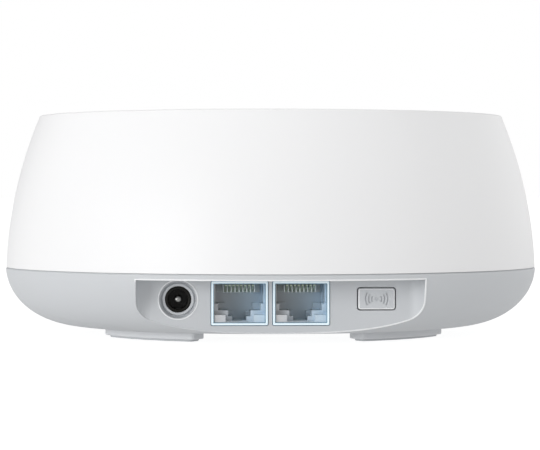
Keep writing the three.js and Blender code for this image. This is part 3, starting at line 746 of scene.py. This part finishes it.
def inlet_tool():
    """The power inlet's opening: a sloping wall, a groove, and a rounded step down to the hole."""
    cone = [(4.93, 0), (4.84, 0.12), (4.5, 1.7), (4.36, 1.82), (4.24, 1.7), (4.12, 1.35), (4.02, 1.25),
            (3.6, 1.25), (3.48, 1.3), (INLET_STEP_R, 1.45)]
    profile = [(0, TOOL_FRONT), (cone[0][0], TOOL_FRONT)] + [(r, PANEL_Y + depth) for r, depth in cone]
    profile += [(INLET_STEP_R, TOOL_BACK), (0, TOOL_BACK)]
    return turned("inlet", profile, 96, (inlet.x, inlet.z), "Y")


def inlet_ring():
    """The raised line round the power inlet, painted pale as a highlight."""
    section = arc((INLET_RING_R, PANEL_Y + 0.02), 0.17, 15, 345, 11)
    ring = turned("ring", section + section[:1], 96, (inlet.x, inlet.z), "Y")
    use_materials(ring, SHELL_MATERIALS, RING)
    return ring


# ---- feet ----


def make_feet():
    for number, angle in enumerate(FOOT_ANGLES, 1):
        rings = [flat(pad_outline(angle, 0), pad_high.z)]
        for turn in (0, 25, 50, 70, 90):
            t = math.radians(turn)
            outline = pad_outline(angle, FOOT_EDGE * (1 - math.cos(t)))
            rings.append(flat(outline, FOOT_EDGE * (1 - math.sin(t))))
        pad = stack(f"pad_{number}", rings)
        soften(pad)
        finished(pad, "foot_rubber", f"foot_pad_{number}")


# ---- Ethernet sockets ----


def make_rim(number):
    """The coloured rim of a socket: a pale lip with a painted glow between two darker slopes, its painted
    halo.
    """
    port = middle(f"rj45_face_rim_{number}")
    front, back = rim_low.y, rim_high.y
    sections = [
        (0, back), (0, front + 0.22), (0.1, front + 0.12), (0.13, front + 0.02), (0.16, front),
        (0.58, front), (0.62, front + 0.03), (0.78, front + 0.36), (0.82, front + 0.46), (0.82, back),
    ]
    pale = range(2, 6)
    points, faces, shades = [], [], []
    for inset, y in sections:
        corner = max(0.4 - 0.4 * inset, 0.08)
        outline = rounded(PORT_W - 2 * inset, PORT_H - 2 * inset, corner, 4)
        points += facing(outline, y, port.x, port.z)
    count = len(points) // len(sections)
    for level in range(len(sections)):
        a, b = level * count, ((level + 1) % len(sections)) * count
        for i in range(count):
            j = (i + 1) % count
            faces.append((a + i, a + j, b + j, b + i))
            shades.append(0 if level in pale else 1)
    rim = mesh_piece(f"socket_rim_{number}", points, faces)
    rim.data.materials.append(MATERIALS["rim_plastic"])
    rim.data.materials.append(RIM_PAINTED_HALO)
    for face, shade in zip(rim.data.polygons, shades):
        face.material_index = shade
    soften(rim, 50)
    finished(rim, "rim_plastic", f"rj45_face_rim_{number}", painted=True)


def mirrored(half):
    """A closed outline from its right-hand half, listed from the top down."""
    return half + [(-u, v) for u, v in reversed(half)]


def make_socket(number):
    port = middle(f"rj45_face_rim_{number}")
    low, high = span(f"rj45_housing_{number}")
    mouth = mirrored([(6.9, 5.2), (6.9, -0.2), (5.6, -0.2), (5.6, -2.1), (6.9, -2.1), (6.9, -3.05),
                      (3.65, -3.05), (3.65, -4.8)])
    plug = mirrored([(6.3, 4.95), (6.3, -0.2), (5.6, -0.2), (5.6, -2), (2.95, -2), (2.95, -3.55),
                     (1.9, -3.55), (1.9, -4.7)])
    deep = mirrored([(5.9, 4.8), (5.9, -0.3), (3.6, -0.3), (3.6, -2.4), (1.8, -2.4), (1.8, -4.6)])
    nose = [(6.6, 4.97), (-6.6, 4.97), (-6.6, -4.97), (6.6, -4.97)]
    body = [(7.4, 5.75), (-7.4, 5.75), (-7.4, -5.75), (7.4, -5.75)]
    socket = prism(f"socket_{number}", nose, low.y, low.y + 2, port.x, port.z)
    join(socket, prism("body", body, low.y + 0.95, high.y, port.x, port.z))
    cut(socket, prism("mouth", mouth, low.y - 2, low.y + 2.6, port.x, port.z))
    for side in (-1, 1):
        cheek = [(side * u, v) for u, v in ((5.55, -2.1), (7, -2.1), (7, 0), (5.55, 0))]
        cut(socket, prism("cheek", cheek, low.y - 2, low.y + 1.6, port.x, port.z))
    cut(socket, prism("plug", plug, low.y - 3, low.y + 10.2, port.x, port.z))
    cut(socket, prism("deep", deep, low.y + 10, low.y + 11.4, port.x, port.z))
    bevel(socket, 0.08)
    soften(socket)
    finished(socket, "socket_plastic", f"rj45_housing_{number}")


def wire(port, x):
    """One spring contact: from its carrier, forward and up, with a rolled end."""
    path = [(12, 2.5), (8, 3.1), (5, 3.8), (3.2, 4.35), (2.5, 4.65), (2.15, 4.72), (2, 4.6)]
    half, thick = 0.25, 0.2
    rings = []
    for y, z in path:
        rings.append([
            (port.x + x - half, PANEL_Y + y, port.z + z - thick / 2),
            (port.x + x + half, PANEL_Y + y, port.z + z - thick / 2),
            (port.x + x + half, PANEL_Y + y, port.z + z + thick / 2),
            (port.x + x - half, PANEL_Y + y, port.z + z + thick / 2),
        ])
    return stack("wire", rings)


def make_contacts(number):
    port = middle(f"rj45_face_rim_{number}")
    low, high = span(f"rj45_contacts_{number}")
    comb = [(-5.65, 2.4), (5.65, 2.4), (5.65, 4.7), (-5.65, 4.7)]
    carrier = prism(f"contacts_{number}", comb, high.y - 2.2, high.y, port.x, port.z)
    for i in range(CONTACTS + 1):
        x = (i - CONTACTS / 2) * CONTACT_PITCH
        rib = [(x - 0.16, 2.6), (x + 0.16, 2.6), (x + 0.16, 4.65), (x - 0.16, 4.65)]
        join(carrier, prism("rib", rib, low.y + 3.5, high.y - 1, port.x, port.z))
    # The carrier takes the pale grey, partly painted light.
    carrier.data.materials.append(CONTACT_COMB_PAINTED_LIGHT)
    carrier.data.materials.append(CONTACT_GOLD)
    before = len(carrier.data.polygons)
    work = bmesh.new()
    work.from_mesh(carrier.data)
    for i in range(CONTACTS):
        strip = wire(port, (i - (CONTACTS - 1) / 2) * CONTACT_PITCH)
        work.from_mesh(strip.data)
        bpy.data.objects.remove(strip)
    work.faces.ensure_lookup_table()
    for face in work.faces[before:]:
        face.material_index = 1
    work.to_mesh(carrier.data)
    work.free()
    soften(carrier, 50)
    finished(carrier, "gold_plate", f"rj45_contacts_{number}", painted=True)


# ---- power inlet ----


def make_inlet():
    low, high = span("dc_jack_body")
    nose = [(2.6, 9), (2.6, 0.5), (2.7, 0.12), (2.95, 0), (3.1, 0), (3.3, 0.15), (3.35, 0.4), (3.35, 2.2),
            (4.4, 2.2), (4.4, 9), (2.6, 9)]
    nose = [(r, low.y + depth) for r, depth in nose]
    jack = turned("inlet_body", nose, 64, (inlet.x, inlet.z), "Y")
    use_materials(jack, [MATERIALS["black_plastic"], INLET_PAINTED_LIGHT])
    w, top, bottom = (high.x - low.x) / 2, high.z - inlet.z, low.z - inlet.z
    shell = [(w, top), (-w, top), (-w, bottom), (w, bottom)]
    block = prism("block", shell, low.y + 2.0, high.y, inlet.x, inlet.z)
    bore = [(0, low.y), (3, low.y), (3, low.y + 6), (0, low.y + 6)]
    cut(block, turned("bore", bore, 64, (inlet.x, inlet.z), "Y"))
    bevel(block, 0.2)
    # The bore's block takes the lighter black, painted light in the hole's shade.
    use_materials(block, [MATERIALS["black_plastic"], INLET_PAINTED_LIGHT], 1)
    join(jack, block)
    soften(jack)
    finished(jack, "black_plastic", "dc_jack_body", painted=True)

    low, high = span("dc_jack_pin")
    r = (high.x - low.x) / 2
    tip = [(0, 0), (0.35, 0.03), (0.7, 0.18), (0.93, 0.5), (1, 0.95)]
    profile = [(share * r, low.y + depth) for share, depth in tip] + [(r, high.y), (0, high.y)]
    pin = turned("inlet_pin", profile, 40, (inlet.x, inlet.z), "Y")
    soften(pin)
    finished(pin, "screw_steel", "dc_jack_pin")


# ---- pairing button ----


def radio_wave():
    """A generic radiating mark: a dot between pairs of arcs."""
    tools = [arc((0, 0), 0.5, 0, 345, 23)]
    half = MARK_STROKE / 2
    for radius in MARK_RADII:
        for side in (0, 180):
            start, end = side - MARK_HALF_ANGLE, side + MARK_HALF_ANGLE
            outer = arc((0, 0), radius + half, start, end, 16)
            inner = arc((0, 0), radius - half, end, start, 16)
            tools.append(outer + inner)
    return tools


def make_button():
    face = button_low.y
    edge = 0.36
    rings = []
    for inset, depth in ((0, 3.1), (0, edge), (0.05, 0.2), (0.17, 0.05), (0.34, 0)):
        outline = rounded(CAP_WIDTH - 2 * inset, CAP_HEIGHT - 2 * inset, max(CAP_CORNER - inset, 0.25))
        rings.append(facing(outline, face + depth, button.x, button.z))
    cap = stack("button_cap", rings)
    use_materials(cap, [MATERIALS["grey_shell"], EDGE_PAINTED_HIGHLIGHT])
    # The button's bevel faces take the pale painted highlight.
    for side in cap.data.polygons:
        if abs(side.normal.y) < 0.98 and side.center.y < (face + edge) * MM:
            side.material_index = 1
    flange = rounded(11.6, 7.5, 0.8)
    join(cap, prism("flange", flange, face + 2.8, face + 3.7, button.x, button.z))
    back = button_high.y
    stem = [(0, face + 3.2), (1.5, face + 3.2), (1.5, back - 0.2), (1.3, back), (0, back)]
    join(cap, turned("stem", stem, 32, (button.x, button.z), "Y"))
    for outline in radio_wave():
        cut(cap, prism("groove", outline, face - 1, face + 0.3, button.x, button.z))
    soften(cap)
    finished(cap, "grey_shell", "pairing_button", "pairing_button", painted=True)


# ---- status light ----


def make_light():
    low, high = span("status_light_pipe")
    r, top = LIGHT_R, RIM_Z + CROWN * (1 - (light.y / LIGHT_CROWN_R) ** 2)
    collar, collar_top = COVER_BOTTOM + 37.5, COVER_BOTTOM + 38.7
    profile = [(0, low.z), (r, low.z), (r, collar), (high.x, collar), (high.x, collar_top), (r, collar_top)]
    profile += [(r, top - 0.4), (r - 0.1, top - 0.15), (r - 0.35, top - 0.04), (0.4 * r, top + 0.02)]
    profile.append((0, top + 0.03))
    pipe = turned("light_pipe", profile, 40, (light.x, light.y))
    soften(pipe)
    finished(pipe, "clear_plastic", "status_light_pipe")


# ---- stage, lights and camera ----

CAMERA_DISTANCE = 675
CAMERA_HEIGHT = 39.3
CAMERA_TURN = -2.4            # degrees round from straight in front of the panel
CAMERA_PITCH = 0.749          # degrees below level
SENSOR = 36
LENS = 157.8
CAMERA_SHIFT = -0.0009        # in picture widths
KEY = 1.8                     # strength of the key light
AMBIENT = 0.4
FLOOR_GLOW = 0.5              # how bright the floor is to the object
FLOOR_SEEN = 0.88             # and to the camera


def make_stage():
    reach = 20000
    corners = [(-reach, -reach, 0), (reach, -reach, 0), (reach, reach, 0), (-reach, reach, 0)]
    floor = mesh_piece("floor", corners, [(0, 1, 2, 3)])
    material, nodes, links, shader = node_material("floor")
    shader.inputs["Base Color"].default_value = (0.25, 0.25, 0.25, 1)
    shader.inputs["Roughness"].default_value = 0.9
    shader.inputs["Specular IOR Level"].default_value = 0.1
    shader.inputs["Emission Color"].default_value = (1, 1, 1, 1)
    rays = nodes.new("ShaderNodeLightPath")
    lift = ramp(nodes, links, rays.outputs["Is Camera Ray"], FLOOR_GLOW, FLOOR_SEEN)
    links.new(lift, shader.inputs["Emission Strength"])
    floor.data.materials.append(material)

    world = bpy.data.worlds.new("studio")
    world.use_nodes = True
    nodes, links = world.node_tree.nodes, world.node_tree.links
    lit = nodes["Background"]
    lit.inputs["Color"].default_value = (1, 1, 1, 1)
    lit.inputs["Strength"].default_value = AMBIENT
    seen = nodes.new("ShaderNodeBackground")
    seen.inputs["Color"].default_value = (1, 1, 1, 1)
    seen.inputs["Strength"].default_value = 1
    choose = nodes.new("ShaderNodeMixShader")
    rays = nodes.new("ShaderNodeLightPath")
    links.new(rays.outputs["Is Camera Ray"], choose.inputs["Fac"])
    links.new(lit.outputs["Background"], choose.inputs[1])
    links.new(seen.outputs["Background"], choose.inputs[2])
    links.new(choose.outputs["Shader"], nodes["World Output"].inputs["Surface"])
    bpy.context.scene.world = world
    bpy.context.scene.view_settings.view_transform = "Standard"


def soft_sun(name, azimuth, elevation, strength, spread):
    """Even studio light, spread degrees across. Azimuth 0 is in front of the panel, 90 is at -X."""
    data = bpy.data.lights.new(name, "SUN")
    data.energy = strength
    data.angle = math.radians(spread)
    made = bpy.data.objects.new(name, data)
    made.rotation_euler = (math.radians(90 - elevation), 0, math.radians(-azimuth))
    bpy.context.scene.collection.objects.link(made)


def make_lights():
    """A low key light from the front left. Every other light is a share of it."""
    soft_sun("key", 45, 3, KEY, 30)
    soft_sun("left", 70, 3, KEY / 3, 30)
    soft_sun("front", 0, 3, KEY / 20, 30)
    soft_sun("far_left", 110, 10, KEY / 10, 50)
    soft_sun("right", -60, 20, KEY / 5, 50)
    soft_sun("far_right", -110, 10, KEY * 0.3, 50)
    soft_sun("rim", -145, 5, KEY / 10, 30)
    soft_sun("top", 0, 80, KEY * 0.45, 60)


def make_camera():
    data = bpy.data.cameras.new("camera")
    data.sensor_width = SENSOR
    data.lens = LENS
    data.shift_x = CAMERA_SHIFT
    data.clip_start = 0.05
    data.clip_end = 50
    camera = bpy.data.objects.new("camera", data)
    turn = math.radians(CAMERA_TURN)
    camera.location = Vector((
        CAMERA_DISTANCE * math.sin(turn), -CAMERA_DISTANCE * math.cos(turn), CAMERA_HEIGHT,
    )) * MM
    camera.rotation_euler = (math.radians(90 - CAMERA_PITCH), 0, turn)
    bpy.context.scene.collection.objects.link(camera)
    bpy.context.scene.camera = camera


make_camera()
make_stage()
make_lights()
paint_frame()
make_cover()
make_base()
make_feet()
for number in SOCKETS:
    make_rim(number)
    make_socket(number)
    make_contacts(number)
make_inlet()
make_button()
make_light()
